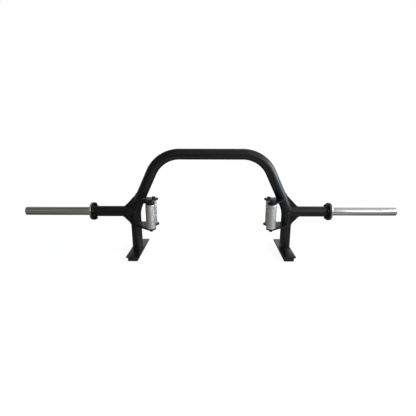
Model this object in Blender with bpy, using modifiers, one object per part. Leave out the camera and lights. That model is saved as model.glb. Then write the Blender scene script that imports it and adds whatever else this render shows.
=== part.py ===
"""Half hex trap bar, standing on its jack feet with the arch up.

X runs along the plate sleeves, -Y is the side with the thick grips, +Z is up.
The origin is on the floor, midway between the feet and in the plane of the arch.
All lengths are metres.
"""

import math

import bmesh
import bpy
from mathutils import Matrix, Vector

# Driving dimensions: bent arch
TUBE_DIAMETER = 0.0635
TUBE_WALL = 0.004
SLEEVE_AXIS_HEIGHT = 0.266
LEG_X = 0.465
LOWER_BEND_HEIGHT = 0.239
LOWER_BEND_RADIUS = 0.180
LEG_SLANT = math.radians(25.4)
TOP_HEIGHT = 0.6145
TOP_BEND_RADIUS = 0.188

# Driving dimensions: arms, flanges and plate sleeves
FLANGE_DIAMETER = 0.108
ARM_FLANGE_THICKNESS = 0.011
SLEEVE_FLANGE_THICKNESS = 0.010
SLEEVE_SHOULDER_X = 0.734
SLEEVE_END_X = 1.134
SLEEVE_DIAMETER = 0.050
SLEEVE_WALL = 0.006
END_CAP_LIP = 0.003
END_CAP_CHAMFER = 0.0015
END_CAP_DEPTH = 0.012
FLANGE_BORE = 0.026
SLEEVE_REGISTER_DIAMETER = 0.051
SLEEVE_REGISTER_DEPTH = 0.001

# Driving dimensions: flange screws, M10 socket heads
FLANGE_SCREWS = 6
FLANGE_SCREW_CIRCLE = 0.086
FLANGE_SCREW_DIAMETER = 0.010
FLANGE_SCREW_REACH = 0.019
FLANGE_SCREW_HEAD_DIAMETER = 0.016
FLANGE_SCREW_HEAD_HEIGHT = 0.010
FLANGE_SCREW_KEY = 0.008
FIRST_SCREW = {"left": math.radians(82), "right": math.radians(102)}
SCREW_HEAD_CHAMFER = 0.0006
SCREW_KEY_DEPTH = 0.5

# Driving dimensions: gusset plates in the plane of the arch
GUSSET_THICKNESS = 0.008
UPPER_GUSSET_ON_LEG = (0.4515, 0.380)
UPPER_GUSSET_ON_ARM = (0.530, 0.298)
LOWER_GUSSET_ON_LEG = (0.4965, 0.183)
LOWER_GUSSET_ON_ARM = (0.542, 0.234)
GUSSET_OVERRUN = 0.009
GUSSET_CORNER_INSET = 0.016

# Driving dimensions: handle plates
HANDLE_PLATE_THICKNESS = 0.008
LOWER_PLATE_TOP = 0.191
UPPER_PLATE_TOP = 0.349
LOBE_RADIUS = 0.028
LOBE_BLEND_RADIUS = 0.060
COLLAR_MARGIN = 0.004
PRONG_REACH = 0.010

# Driving dimensions: grips, each free to spin on its spacer
FAT_GRIP_X = 0.354
FAT_GRIP_Y = -0.100
FAT_GRIP_DIAMETER = 0.056
FAT_GRIP_BORE = 0.042
FAT_GRIP_LENGTH = 0.143
FAT_SPACER_DIAMETER = 0.034
FAT_BOLT_DIAMETER = 0.016
FAT_BOLT_FLATS = 0.024
FAT_BOLT_HEAD = 0.015
FAT_BOLT_FLANGE = 0.034
FAT_NUT_HEIGHT = 0.011
BUSH_LENGTH = 0.022
THIN_GRIP_X = 0.350
THIN_GRIP_Y = -0.005
THIN_GRIP_DIAMETER = 0.032
THIN_GRIP_LENGTH = 0.1475
GRIP_CHAMFER = 0.002
THIN_SPACER_DIAMETER = 0.021
THIN_BOLT_DIAMETER = 0.012
THIN_BOLT_FLATS = 0.018
THIN_BOLT_HEAD = 0.0105
THIN_BOLT_FLANGE = 0.026
THIN_NUT_HEIGHT = 0.010
BOLT_FLANGE_THICKNESS = 0.003
BOLT_END = 0.0025

# Driving dimensions: feet
FOOT_X = 0.4625
PAD_WIDTH = 0.058
PAD_HEIGHT = 0.020
FOOT_LENGTH = 0.305
FOOT_PLATE_WIDTH = 0.080
FOOT_PLATE_THICKNESS = 0.008
FOOT_CORNER_RADIUS = 0.004
PAD_SCREW_Y = 0.105
PAD_SCREW_DIAMETER = 0.006
PAD_SCREW_HEAD_DIAMETER = 0.013
PAD_SCREW_HEAD_HEIGHT = 0.004
PAD_SCREW_RECESS_DIAMETER = 0.016
PAD_SCREW_RECESS_DEPTH = 0.009
PAD_SCREW_KEY = 0.004
PAD_SCREW_BITE = 0.006

# Clearances and facet counts
GAP = 0.0003
SPIN_CLEARANCE = 0.0004
CUT_OVERRUN = 0.004
TUBE_BEVEL_RESOLUTION = 14
BORE_BEVEL_RESOLUTION = 5
TUBE_SIDES = 32
GRIP_SIDES = 32
FLANGE_SIDES = 48
SMALL_SIDES = 12
LOWER_BEND_STEPS = 5
TOP_BEND_STEPS = 12
LOBE_STEPS = 8
BLEND_STEPS = 8
CORNER_STEPS = 3
MERGE_DISTANCE = 0.00001
SMOOTH_ANGLE = math.radians(35)

SIDES = (("left", -1.0), ("right", 1.0))

COLOURS = {
    "black_powder_coat": ((0.012, 0.012, 0.011), 0.38, 0.0),
    "black_oxide": ((0.015, 0.015, 0.016), 0.45, 0.6),
    "chrome": ((0.62, 0.62, 0.61), 0.16, 1.0),
    "knurled_steel": ((0.58, 0.58, 0.58), 0.34, 1.0),
    "rubber": ((0.016, 0.016, 0.016), 0.82, 0.0),
    "nylon": ((0.03, 0.03, 0.03), 0.55, 0.0),
}


def clear_scene():
    """Remove whatever the opening file holds."""
    for thing in list(bpy.data.objects):
        bpy.data.objects.remove(thing, do_unlink=True)


def new_collection(name):
    """Make a collection under the scene's own."""
    collection = bpy.data.collections.new(name)
    bpy.context.scene.collection.children.link(collection)
    return collection


def material(name):
    """Principled material of one finish, made once and then shared."""
    found = bpy.data.materials.get(name)
    if found:
        return found
    colour, roughness, metallic = COLOURS[name]
    made = bpy.data.materials.new(name)
    made.use_nodes = True
    shader = made.node_tree.nodes["Principled BSDF"]
    shader.inputs["Base Color"].default_value = (*colour, 1.0)
    shader.inputs["Roughness"].default_value = roughness
    shader.inputs["Metallic"].default_value = metallic
    made.diffuse_color = (*colour, 1.0)
    return made


def place(name, mesh, finish, smooth=True):
    """Put a mesh in the model as one named piece."""
    piece = bpy.data.objects.new(name, mesh)
    bar.objects.link(piece)
    if not mesh.materials:
        mesh.materials.append(material(finish))
    if smooth:
        mesh.shade_smooth()
        mesh.set_sharp_from_angle(angle=SMOOTH_ANGLE)
    return piece


def place_cutter(name, mesh):
    """Put a mesh among the cutters, which are never seen."""
    cutter = bpy.data.objects.new(name, mesh)
    cutters.objects.link(cutter)
    cutter.hide_render = True
    cutter.display_type = "WIRE"
    return cutter


def evaluated_mesh(source):
    """Mesh of an object as its modifiers or its curve leave it, welded and facing out."""
    bpy.context.view_layer.update()
    graph = bpy.context.evaluated_depsgraph_get()
    mesh = bpy.data.meshes.new_from_object(source.evaluated_get(graph))
    mesh.transform(source.matrix_world)
    shell = bmesh.new()
    shell.from_mesh(mesh)
    bmesh.ops.remove_doubles(shell, verts=shell.verts, dist=MERGE_DISTANCE)
    bmesh.ops.recalc_face_normals(shell, faces=shell.faces)
    shell.to_mesh(mesh)
    shell.free()
    bpy.data.objects.remove(source, do_unlink=True)
    return mesh


def boolean(piece, cutter, operation="DIFFERENCE"):
    """Cut a piece with a cutter, or join them."""
    step = piece.modifiers.new(cutter.name, "BOOLEAN")
    step.operation = operation
    step.object = cutter
    step.solver = "EXACT"


def bevelled_path(points, radius, resolution):
    """Round bar mesh along a list of points."""
    data = bpy.data.curves.new("path", "CURVE")
    data.dimensions = "3D"
    data.bevel_depth = radius
    data.bevel_resolution = resolution
    data.use_fill_caps = True
    spline = data.splines.new("POLY")
    spline.points.add(len(points) - 1)
    for knot, point in zip(spline.points, points):
        knot.co = (*point, 1.0)
    guide = bpy.data.objects.new("path", data)
    bar.objects.link(guide)
    return evaluated_mesh(guide)


def flat_plate(outline, thickness, matrix):
    """Plate mesh with a drawn outline, centred on its own thickness, then moved by a matrix."""
    data = bpy.data.curves.new("outline", "CURVE")
    data.dimensions = "2D"
    data.fill_mode = "BOTH"
    data.extrude = thickness / 2
    spline = data.splines.new("POLY")
    spline.points.add(len(outline) - 1)
    for knot, point in zip(spline.points, outline):
        knot.co = (point[0], point[1], 0.0, 1.0)
    spline.use_cyclic_u = True
    guide = bpy.data.objects.new("outline", data)
    bar.objects.link(guide)
    guide.matrix_world = matrix
    return evaluated_mesh(guide)


def turned(profile, sides, matrix):
    """Mesh turned about Z from (radius, height) points, outer side first and top to bottom.

    A profile that starts on the axis ends on it too, and any other is closed on itself.
    """
    mesh = bpy.data.meshes.new("profile")
    edges = [(i, i + 1) for i in range(len(profile) - 1)]
    if profile[0][0] > 0.0:
        edges.append((len(profile) - 1, 0))
    mesh.from_pydata([(radius, 0.0, height) for radius, height in profile], edges, [])
    spun = bpy.data.objects.new("profile", mesh)
    bar.objects.link(spun)
    screw = spun.modifiers.new("turn", "SCREW")
    screw.steps = sides
    screw.render_steps = sides
    screw.use_merge_vertices = True
    screw.merge_threshold = MERGE_DISTANCE
    spun.matrix_world = matrix
    return evaluated_mesh(spun)


def solid_cylinder(radius, start, end, sides, turn=0.0):
    """Closed cylinder mesh between two points."""
    axis = Vector(end) - Vector(start)
    aim = axis.to_track_quat("Z", "Y").to_matrix().to_4x4()
    middle = (Vector(start) + Vector(end)) / 2
    shell = bmesh.new()
    bmesh.ops.create_cone(
        shell,
        cap_ends=True,
        segments=sides,
        radius1=radius,
        radius2=radius,
        depth=axis.length,
        matrix=Matrix.Translation(middle) @ aim @ Matrix.Rotation(turn, 4, "Z"),
    )
    mesh = bpy.data.meshes.new("cylinder")
    shell.to_mesh(mesh)
    shell.free()
    return mesh


def hex_prism(flats, bottom, top):
    """Upright hexagonal prism mesh about Z, given its size across flats."""
    corner = flats / 2 / math.cos(math.pi / 6)
    return solid_cylinder(corner, (0.0, 0.0, bottom), (0.0, 0.0, top), 6)


def joined(meshes):
    """One mesh that holds several closed meshes, for a cutter with many tools."""
    shell = bmesh.new()
    for mesh in meshes:
        shell.from_mesh(mesh)
        bpy.data.meshes.remove(mesh)
    whole = bpy.data.meshes.new("joined")
    shell.to_mesh(whole)
    shell.free()
    return whole


def arc(centre, radius, start, end, steps):
    """Points along an arc, both ends included, angles in radians."""
    angles = [start + (end - start) * i / steps for i in range(steps + 1)]
    return [(centre[0] + radius * math.cos(a), centre[1] + radius * math.sin(a)) for a in angles]


def right_leg_path(bottom):
    """Centreline (x, z) of the right half of the arch, from the foot up to the start of the flat top."""
    lower_centre = (LEG_X - LOWER_BEND_RADIUS, LOWER_BEND_HEIGHT)
    lower = arc(lower_centre, LOWER_BEND_RADIUS, 0.0, LEG_SLANT, LOWER_BEND_STEPS)
    top_centre_z = TOP_HEIGHT - TOP_BEND_RADIUS
    top_start_z = top_centre_z + TOP_BEND_RADIUS * math.sin(LEG_SLANT)
    run = (top_start_z - lower[-1][1]) * math.tan(LEG_SLANT)
    top_centre_x = lower[-1][0] - run - TOP_BEND_RADIUS * math.cos(LEG_SLANT)
    top = arc((top_centre_x, top_centre_z), TOP_BEND_RADIUS, LEG_SLANT, math.pi / 2, TOP_BEND_STEPS)
    return [(LEG_X, bottom), *lower, *top]


def arch_path(bottom):
    """Centreline of the whole arch as points in space."""
    right = right_leg_path(bottom)
    left = [(-x, z) for x, z in reversed(right)]
    return [(x, 0.0, z) for x, z in right + left]


def leg_centre_x(height):
    """Distance of the leg's centreline from the middle, at a height on the leg."""
    bend_top = LOWER_BEND_HEIGHT + LOWER_BEND_RADIUS * math.sin(LEG_SLANT)
    if height <= LOWER_BEND_HEIGHT:
        return LEG_X
    if height <= bend_top:
        turn = math.asin((height - LOWER_BEND_HEIGHT) / LOWER_BEND_RADIUS)
        return LEG_X - LOWER_BEND_RADIUS * (1 - math.cos(turn))
    bend_in = LOWER_BEND_RADIUS * (1 - math.cos(LEG_SLANT))
    return LEG_X - bend_in - (height - bend_top) * math.tan(LEG_SLANT)


def make_arch():
    """One bent tube: flat top, two large bends, slanted legs and upright lower legs."""
    bottom = PAD_HEIGHT + FOOT_PLATE_THICKNESS + GAP
    outer = bevelled_path(arch_path(bottom), TUBE_DIAMETER / 2, TUBE_BEVEL_RESOLUTION)
    bore_radius = TUBE_DIAMETER / 2 - TUBE_WALL
    inner = bevelled_path(arch_path(bottom - CUT_OVERRUN), bore_radius, BORE_BEVEL_RESOLUTION)
    piece = place("arch_tube", outer, "black_powder_coat")
    boolean(piece, place_cutter("arch_bore", inner))
    clearance = bevelled_path(arch_path(0.0), TUBE_DIAMETER / 2 + GAP, TUBE_BEVEL_RESOLUTION)
    return place_cutter("arch_clearance", clearance)


def make_arm(side_name, side, arch_clearance):
    """Level tube from the leg out to its flange, coped to fit the bent leg."""
    start = (side * LEG_X, 0.0, SLEEVE_AXIS_HEIGHT)
    flange_inner = SLEEVE_SHOULDER_X - SLEEVE_FLANGE_THICKNESS - ARM_FLANGE_THICKNESS
    end = (side * (flange_inner - GAP), 0.0, SLEEVE_AXIS_HEIGHT)
    tube = solid_cylinder(TUBE_DIAMETER / 2, start, end, TUBE_SIDES)
    piece = place(f"arm_tube_{side_name}", tube, "black_powder_coat")
    bore_start = (side * (LEG_X - CUT_OVERRUN), 0.0, SLEEVE_AXIS_HEIGHT)
    bore_end = (side * (flange_inner + CUT_OVERRUN), 0.0, SLEEVE_AXIS_HEIGHT)
    bore = solid_cylinder(TUBE_DIAMETER / 2 - TUBE_WALL, bore_start, bore_end, TUBE_SIDES // 2)
    boolean(piece, place_cutter(f"arm_bore_{side_name}", bore))
    boolean(piece, arch_clearance)
    clearance = solid_cylinder(TUBE_DIAMETER / 2 + GAP, start, end, TUBE_SIDES)
    return place_cutter(f"arm_clearance_{side_name}", clearance)


def run_on(near, far, distance):
    """Point past the far one, on the line from near to far."""
    length = math.dist(near, far)
    return tuple(b + (b - a) / length * distance for a, b in zip(near, far))


def make_gussets(side_name, side, arch_clearance, arm_clearance):
    """Upper and lower triangular plates between leg and arm, in the plane of the arch."""
    upright = Matrix.Rotation(math.pi / 2, 4, "X")
    corner = (LEG_X + GUSSET_CORNER_INSET, SLEEVE_AXIS_HEIGHT)
    layouts = (
        ("upper_gusset", UPPER_GUSSET_ON_LEG, UPPER_GUSSET_ON_ARM),
        ("lower_gusset", LOWER_GUSSET_ON_LEG, LOWER_GUSSET_ON_ARM),
    )
    for name, on_leg, on_arm in layouts:
        outline = [
            run_on(on_arm, on_leg, GUSSET_OVERRUN),
            corner,
            run_on(on_leg, on_arm, GUSSET_OVERRUN),
        ]
        outline = [(side * x, z) for x, z in outline]
        plate = flat_plate(outline, GUSSET_THICKNESS, upright)
        piece = place(f"{name}_{side_name}", plate, "black_powder_coat", smooth=False)
        boolean(piece, arch_clearance)
        boolean(piece, arm_clearance)


def screw_angles(side_name):
    """Directions of the flange screws round the sleeve axis, from the first one, at the top."""
    return [FIRST_SCREW[side_name] + 2 * math.pi * i / FLANGE_SCREWS for i in range(FLANGE_SCREWS)]


def screw_place(angle):
    """Y and Z of a flange screw's axis."""
    reach = FLANGE_SCREW_CIRCLE / 2
    return reach * math.cos(angle), SLEEVE_AXIS_HEIGHT + reach * math.sin(angle)


def flange_bore(side):
    """Cutter for the middle of both flanges: a bore, and a shallow recess for the sleeve's foot."""
    outer_end = SLEEVE_SHOULDER_X + CUT_OVERRUN
    recess_floor = SLEEVE_SHOULDER_X - SLEEVE_REGISTER_DEPTH
    inner_end = SLEEVE_SHOULDER_X - SLEEVE_FLANGE_THICKNESS - ARM_FLANGE_THICKNESS - CUT_OVERRUN
    profile = [
        (0.0, outer_end),
        (SLEEVE_REGISTER_DIAMETER / 2, outer_end),
        (SLEEVE_REGISTER_DIAMETER / 2, recess_floor),
        (FLANGE_BORE / 2, recess_floor),
        (FLANGE_BORE / 2, inner_end),
        (0.0, inner_end),
    ]
    outward = Matrix.Rotation(side * math.pi / 2, 4, "Y")
    return turned(profile, TUBE_SIDES, Matrix.Translation((0.0, 0.0, SLEEVE_AXIS_HEIGHT)) @ outward)


def make_flanges(side_name, side):
    """Painted flange welded to the arm, and the chromed one of the sleeve bolted against it."""
    joint_x = SLEEVE_SHOULDER_X - SLEEVE_FLANGE_THICKNESS
    arm_side_x = joint_x - ARM_FLANGE_THICKNESS
    layouts = (
        ("arm_flange", arm_side_x, joint_x - GAP, "black_powder_coat"),
        ("sleeve_flange", joint_x, SLEEVE_SHOULDER_X, "chrome"),
    )
    holes = []
    for angle in screw_angles(side_name):
        y, z = screw_place(angle)
        start = (side * (arm_side_x - CUT_OVERRUN), y, z)
        end = (side * (arm_side_x + FLANGE_SCREW_REACH + GAP), y, z)
        holes.append(solid_cylinder(FLANGE_SCREW_DIAMETER / 2 + GAP, start, end, SMALL_SIDES))
    holes.append(flange_bore(side))
    cutter = place_cutter(f"flange_holes_{side_name}", joined(holes))
    for name, inner_x, outer_x, finish in layouts:
        start = (side * inner_x, 0.0, SLEEVE_AXIS_HEIGHT)
        end = (side * outer_x, 0.0, SLEEVE_AXIS_HEIGHT)
        disc = solid_cylinder(FLANGE_DIAMETER / 2, start, end, FLANGE_SIDES)
        boolean(place(f"{name}_{side_name}", disc, finish), cutter)


def make_socket_screw(diameter, reach, head_diameter, head_height, key):
    """Socket head screw mesh along Z: head above zero, shank below, hexagonal recess in the head."""
    head = head_diameter / 2
    shank = diameter / 2
    profile = [
        (0.0, head_height),
        (head - SCREW_HEAD_CHAMFER, head_height),
        (head, head_height - SCREW_HEAD_CHAMFER),
        (head, 0.0),
        (shank, 0.0),
        (shank, -reach),
        (0.0, -reach),
    ]
    blank = place("screw_blank", turned(profile, SMALL_SIDES, Matrix.Identity(4)), "black_oxide")
    key_bottom = head_height * (1.0 - SCREW_KEY_DEPTH)
    recess = place_cutter("screw_recess", hex_prism(key, key_bottom, head_height + CUT_OVERRUN))
    boolean(blank, recess)
    screw = evaluated_mesh(blank)
    bpy.data.objects.remove(recess, do_unlink=True)
    return screw


def make_flange_screws():
    """Six socket screws a side, put in from the arm's side of the flanges."""
    screw = make_socket_screw(
        FLANGE_SCREW_DIAMETER,
        FLANGE_SCREW_REACH,
        FLANGE_SCREW_HEAD_DIAMETER,
        FLANGE_SCREW_HEAD_HEIGHT,
        FLANGE_SCREW_KEY,
    )
    arm_side_x = SLEEVE_SHOULDER_X - SLEEVE_FLANGE_THICKNESS - ARM_FLANGE_THICKNESS
    for side_name, side in SIDES:
        for number, angle in enumerate(screw_angles(side_name), start=1):
            y, z = screw_place(angle)
            piece = place(f"flange_screw_{side_name}_{number}", screw, "black_oxide")
            piece.location = (side * (arm_side_x - GAP), y, z)
            piece.rotation_euler = (0.0, -side * math.pi / 2, 0.0)


def make_sleeve(side_name, side):
    """Chromed plate sleeve with a plugged outer end."""
    radius = SLEEVE_DIAMETER / 2
    bore = radius - SLEEVE_WALL
    foot_x = SLEEVE_SHOULDER_X - SLEEVE_REGISTER_DEPTH + GAP
    length = SLEEVE_END_X - END_CAP_LIP - GAP - foot_x
    tube = [(radius, length), (radius, 0.0), (bore, 0.0), (bore, length)]
    outward = Matrix.Rotation(side * math.pi / 2, 4, "Y")
    base = Matrix.Translation((side * foot_x, 0.0, SLEEVE_AXIS_HEIGHT))
    sleeve = turned(tube, TUBE_SIDES, base @ outward)
    place(f"sleeve_tube_{side_name}", sleeve, "chrome")
    lip = END_CAP_LIP
    chamfer = END_CAP_CHAMFER
    plug = bore - GAP
    cap = [
        (0.0, lip),
        (radius - chamfer, lip),
        (radius, lip - chamfer),
        (radius, 0.0),
        (plug, 0.0),
        (plug, -END_CAP_DEPTH),
        (0.0, -END_CAP_DEPTH),
    ]
    end = Matrix.Translation((side * (SLEEVE_END_X - lip), 0.0, SLEEVE_AXIS_HEIGHT))
    place(f"sleeve_end_cap_{side_name}", turned(cap, TUBE_SIDES, end @ outward), "chrome")


def tangent_angle(first, second, first_radius, second_radius, side):
    """Direction of the normal shared by two circles on one side of the line between their centres."""
    along = math.atan2(second[1] - first[1], second[0] - first[0])
    lean = math.acos((first_radius - second_radius) / math.dist(first, second))
    return along + side * lean


def handle_plate_outline(leg_centre):
    """Outline in X and Y on the right side: two round lobes with a hollow between, tangent to the leg."""
    thin = (THIN_GRIP_X, THIN_GRIP_Y)
    fat = (FAT_GRIP_X, FAT_GRIP_Y)
    leg = (leg_centre, 0.0)
    collar = TUBE_DIAMETER / 2 + COLLAR_MARGIN
    rear = tangent_angle(leg, thin, collar, LOBE_RADIUS, -1)
    front = tangent_angle(leg, fat, collar, LOBE_RADIUS, 1)
    # centre of the hollow's arc, at the same distance from both lobes, on the inner side
    middle = Vector(((thin[0] + fat[0]) / 2, (thin[1] + fat[1]) / 2))
    half = math.dist(thin, fat) / 2
    reach = math.sqrt((LOBE_RADIUS + LOBE_BLEND_RADIUS) ** 2 - half ** 2)
    across = Vector((fat[1] - thin[1], thin[0] - fat[0])).normalized()
    hollow = middle + across * reach
    to_thin = math.atan2(thin[1] - hollow[1], thin[0] - hollow[0])
    to_fat = math.atan2(fat[1] - hollow[1], fat[0] - hollow[0])
    outer_x = leg_centre + PRONG_REACH
    rear_line_slope = -math.cos(rear) / math.sin(rear)
    front_line_slope = -math.cos(front) / math.sin(front)
    rear_touch = (leg[0] + collar * math.cos(rear), collar * math.sin(rear))
    front_touch = (leg[0] + collar * math.cos(front), collar * math.sin(front))
    rear_end = (outer_x, rear_touch[1] + (outer_x - rear_touch[0]) * rear_line_slope)
    front_end = (outer_x, front_touch[1] + (outer_x - front_touch[0]) * front_line_slope)
    thin_end = wrapped(to_thin + math.pi, math.pi)
    thin_lobe = arc(thin, LOBE_RADIUS, wrapped(rear, 0.0), thin_end, LOBE_STEPS)
    blend = arc(hollow, LOBE_BLEND_RADIUS, to_thin, to_fat, BLEND_STEPS)
    fat_start = wrapped(to_fat - math.pi, math.pi / 2)
    fat_lobe = arc(fat, LOBE_RADIUS, fat_start, wrapped(front, math.pi), LOBE_STEPS)
    return [rear_end, *thin_lobe, *blend[1:-1], *fat_lobe, front_end]


def wrapped(angle, least):
    """The same direction as an angle from least up to one turn more."""
    turn = 2 * math.pi
    return least + (angle - least) % turn


def make_handle_plates(side_name, side, arch_clearance):
    """Upper and lower plates welded to the leg, with clearance holes for the grip bolts."""
    holes = []
    layouts = ((FAT_GRIP_X, FAT_GRIP_Y, FAT_BOLT_DIAMETER), (THIN_GRIP_X, THIN_GRIP_Y, THIN_BOLT_DIAMETER))
    for x, y, diameter in layouts:
        start = (side * x, y, LOWER_PLATE_TOP - HANDLE_PLATE_THICKNESS - CUT_OVERRUN)
        end = (side * x, y, UPPER_PLATE_TOP + CUT_OVERRUN)
        holes.append(solid_cylinder(diameter / 2 + GAP, start, end, SMALL_SIDES))
    bolt_holes = place_cutter(f"handle_bolt_holes_{side_name}", joined(holes))
    for name, top in (("upper_handle_plate", UPPER_PLATE_TOP), ("lower_handle_plate", LOWER_PLATE_TOP)):
        middle = top - HANDLE_PLATE_THICKNESS / 2
        outline = [(side * x, y) for x, y in handle_plate_outline(leg_centre_x(middle))]
        plate = flat_plate(outline, HANDLE_PLATE_THICKNESS, Matrix.Translation((0.0, 0.0, middle)))
        piece = place(f"{name}_{side_name}", plate, "black_powder_coat", smooth=False)
        boolean(piece, arch_clearance)
        boolean(piece, bolt_holes)


def sleeve_profile(outer, inner, bottom, top, chamfer):
    """Closed profile of a plain tube with chamfered outer rims."""
    return [
        (inner, top),
        (outer - chamfer, top),
        (outer, top - chamfer),
        (outer, bottom + chamfer),
        (outer - chamfer, bottom),
        (inner, bottom),
    ]


def make_grips(side_name, side):
    """Thick and thin spinning grips with their spacers and bushes, each on its own upright axis."""
    fat_axis = Matrix.Translation((side * FAT_GRIP_X, FAT_GRIP_Y, 0.0))
    thin_axis = Matrix.Translation((side * THIN_GRIP_X, THIN_GRIP_Y, 0.0))
    floor = LOWER_PLATE_TOP + GAP
    ceiling = UPPER_PLATE_TOP - HANDLE_PLATE_THICKNESS - GAP
    rest = floor + SPIN_CLEARANCE
    thin_bore = THIN_SPACER_DIAMETER + 2 * SPIN_CLEARANCE
    grips = (
        ("fat_grip", fat_axis, FAT_GRIP_DIAMETER, FAT_GRIP_BORE, FAT_GRIP_LENGTH),
        ("thin_grip", thin_axis, THIN_GRIP_DIAMETER, thin_bore, THIN_GRIP_LENGTH),
    )
    for name, axis, diameter, bore, length in grips:
        profile = sleeve_profile(diameter / 2, bore / 2, rest, rest + length, GRIP_CHAMFER)
        mesh = turned(profile, GRIP_SIDES, Matrix.Identity(4))
        piece = place(f"{name}_{side_name}", mesh, "knurled_steel")
        piece.matrix_world = axis
    bush_outer = FAT_GRIP_BORE / 2 - GAP
    bush_inner = FAT_SPACER_DIAMETER / 2 + SPIN_CLEARANCE
    bush_bottoms = (("lower", rest), ("upper", rest + FAT_GRIP_LENGTH - BUSH_LENGTH))
    for level, bottom in bush_bottoms:
        profile = sleeve_profile(bush_outer, bush_inner, bottom, bottom + BUSH_LENGTH, GAP)
        mesh = turned(profile, GRIP_SIDES, Matrix.Identity(4))
        piece = place(f"grip_bush_{level}_{side_name}", mesh, "nylon")
        piece.matrix_world = fat_axis
    spacers = (
        ("fat_grip_spacer", fat_axis, FAT_SPACER_DIAMETER, FAT_BOLT_DIAMETER),
        ("thin_grip_spacer", thin_axis, THIN_SPACER_DIAMETER, THIN_BOLT_DIAMETER),
    )
    for name, axis, diameter, bolt in spacers:
        profile = sleeve_profile(diameter / 2, bolt / 2 + GAP, floor, ceiling, GAP)
        mesh = turned(profile, GRIP_SIDES // 2, axis)
        place(f"{name}_{side_name}", mesh, "black_powder_coat")


def make_grip_fasteners(side_name, side):
    """Hexagon flange bolts down through plate, spacer and plate, with a nut under each."""
    layouts = (
        ("fat_grip", FAT_GRIP_X, FAT_GRIP_Y, FAT_BOLT_DIAMETER, FAT_BOLT_FLATS, FAT_BOLT_HEAD,
         FAT_BOLT_FLANGE, FAT_NUT_HEIGHT),
        ("thin_grip", THIN_GRIP_X, THIN_GRIP_Y, THIN_BOLT_DIAMETER, THIN_BOLT_FLATS, THIN_BOLT_HEAD,
         THIN_BOLT_FLANGE, THIN_NUT_HEIGHT),
    )
    head_seat = UPPER_PLATE_TOP + GAP
    nut_seat = LOWER_PLATE_TOP - HANDLE_PLATE_THICKNESS - GAP
    for name, x, y, diameter, flats, head, flange, nut in layouts:
        axis = Matrix.Translation((side * x, y, 0.0))
        tip = nut_seat - nut - BOLT_END
        shank_top = head_seat + head / 2
        flange_top = head_seat + BOLT_FLANGE_THICKNESS
        head_mesh = hex_prism(flats, flange_top - GAP, head_seat + head)
        collar_mesh = solid_cylinder(flange / 2, (0.0, 0.0, head_seat), (0.0, 0.0, flange_top), GRIP_SIDES)
        shank_mesh = solid_cylinder(diameter / 2, (0.0, 0.0, tip), (0.0, 0.0, shank_top), SMALL_SIDES)
        for mesh in (head_mesh, collar_mesh, shank_mesh):
            mesh.transform(axis)
        bolt = place(f"{name}_bolt_{side_name}", head_mesh, "black_oxide", smooth=False)
        boolean(bolt, place_cutter(f"{name}_collar_{side_name}", collar_mesh), "UNION")
        boolean(bolt, place_cutter(f"{name}_shank_{side_name}", shank_mesh), "UNION")
        nut_mesh = hex_prism(flats, nut_seat - nut, nut_seat)
        thread = solid_cylinder(
            diameter / 2 + GAP,
            (0.0, 0.0, nut_seat - nut - CUT_OVERRUN),
            (0.0, 0.0, nut_seat + CUT_OVERRUN),
            SMALL_SIDES,
        )
        for mesh in (nut_mesh, thread):
            mesh.transform(axis)
        nut_piece = place(f"{name}_nut_{side_name}", nut_mesh, "black_oxide", smooth=False)
        boolean(nut_piece, place_cutter(f"{name}_thread_{side_name}", thread))


def rounded_rectangle(centre, width, length, radius):
    """Outline of a rectangle with round corners."""
    x, y = centre
    inner_x = width / 2 - radius
    inner_y = length / 2 - radius
    corners = ((inner_x, inner_y, 0), (-inner_x, inner_y, 1), (-inner_x, -inner_y, 2), (inner_x, -inner_y, 3))
    outline = []
    for offset_x, offset_y, quarter in corners:
        start = quarter * math.pi / 2
        outline += arc((x + offset_x, y + offset_y), radius, start, start + math.pi / 2, CORNER_STEPS)
    return outline


def make_foot(side_name, side):
    """Steel foot plate under the leg, and the rubber pad that is screwed to its underside."""
    centre = (side * FOOT_X, 0.0)
    plate_middle = PAD_HEIGHT + FOOT_PLATE_THICKNESS / 2
    outline = rounded_rectangle(centre, FOOT_PLATE_WIDTH, FOOT_LENGTH, FOOT_CORNER_RADIUS)
    plate = flat_plate(outline, FOOT_PLATE_THICKNESS, Matrix.Translation((0.0, 0.0, plate_middle)))
    plate_piece = place(f"foot_plate_{side_name}", plate, "black_powder_coat", smooth=False)
    outline = rounded_rectangle(centre, PAD_WIDTH, FOOT_LENGTH, FOOT_CORNER_RADIUS)
    pad_middle = (PAD_HEIGHT - GAP) / 2
    pad = flat_plate(outline, PAD_HEIGHT - GAP, Matrix.Translation((0.0, 0.0, pad_middle)))
    pad_piece = place(f"foot_pad_{side_name}", pad, "rubber", smooth=False)
    holes = []
    recesses = []
    for end in (-1.0, 1.0):
        x, y = side * FOOT_X, end * PAD_SCREW_Y
        below = (x, y, -CUT_OVERRUN)
        hole_end = (x, y, PAD_HEIGHT + PAD_SCREW_BITE)
        recess_end = (x, y, PAD_SCREW_RECESS_DEPTH)
        holes.append(solid_cylinder(PAD_SCREW_DIAMETER / 2 + GAP, below, hole_end, SMALL_SIDES))
        recesses.append(solid_cylinder(PAD_SCREW_RECESS_DIAMETER / 2, below, recess_end, SMALL_SIDES))
    hole_cutter = place_cutter(f"foot_screw_holes_{side_name}", joined(holes))
    recess_cutter = place_cutter(f"foot_screw_recesses_{side_name}", joined(recesses))
    boolean(plate_piece, hole_cutter)
    boolean(pad_piece, hole_cutter)
    boolean(pad_piece, recess_cutter)


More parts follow.
